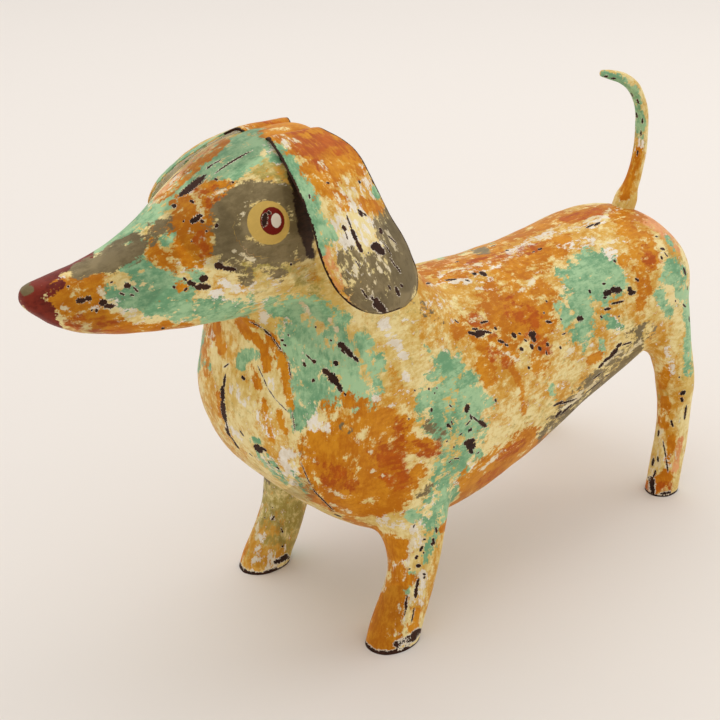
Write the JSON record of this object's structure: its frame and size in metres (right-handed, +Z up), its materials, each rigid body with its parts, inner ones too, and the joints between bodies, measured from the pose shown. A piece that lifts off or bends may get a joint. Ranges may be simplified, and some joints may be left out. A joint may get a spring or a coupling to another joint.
{
  "type": "dachshund figurine",
  "caption": "Hand-made sheet-metal dachshund standing on short legs, with a long snout, welded drop ears and an upright curled tail, in worn patchwork enamel.",
  "frame": {"origin": "on the floor under the middle of the whole figure", "axes": "+X out of the nose, +Y the dog's left side, +Z up"},
  "size_m": [0.4022, 0.1344, 0.2502],
  "materials": {
    "body_enamel": "satin cream yellow enamel with patches of mint, orange, taupe and white, chipped to the dark metal",
    "ear_enamel": "satin orange, cream and grey enamel with a mint front band, chipped along the cut edges",
    "tail_enamel": "satin ochre to mint enamel, worn on the bend"
  },
  "bodies": {
    "root": {"body": "body_enamel", "ear_left": "ear_enamel", "ear_right": "ear_enamel", "tail": "tail_enamel"}
  },
  "joints": []
}
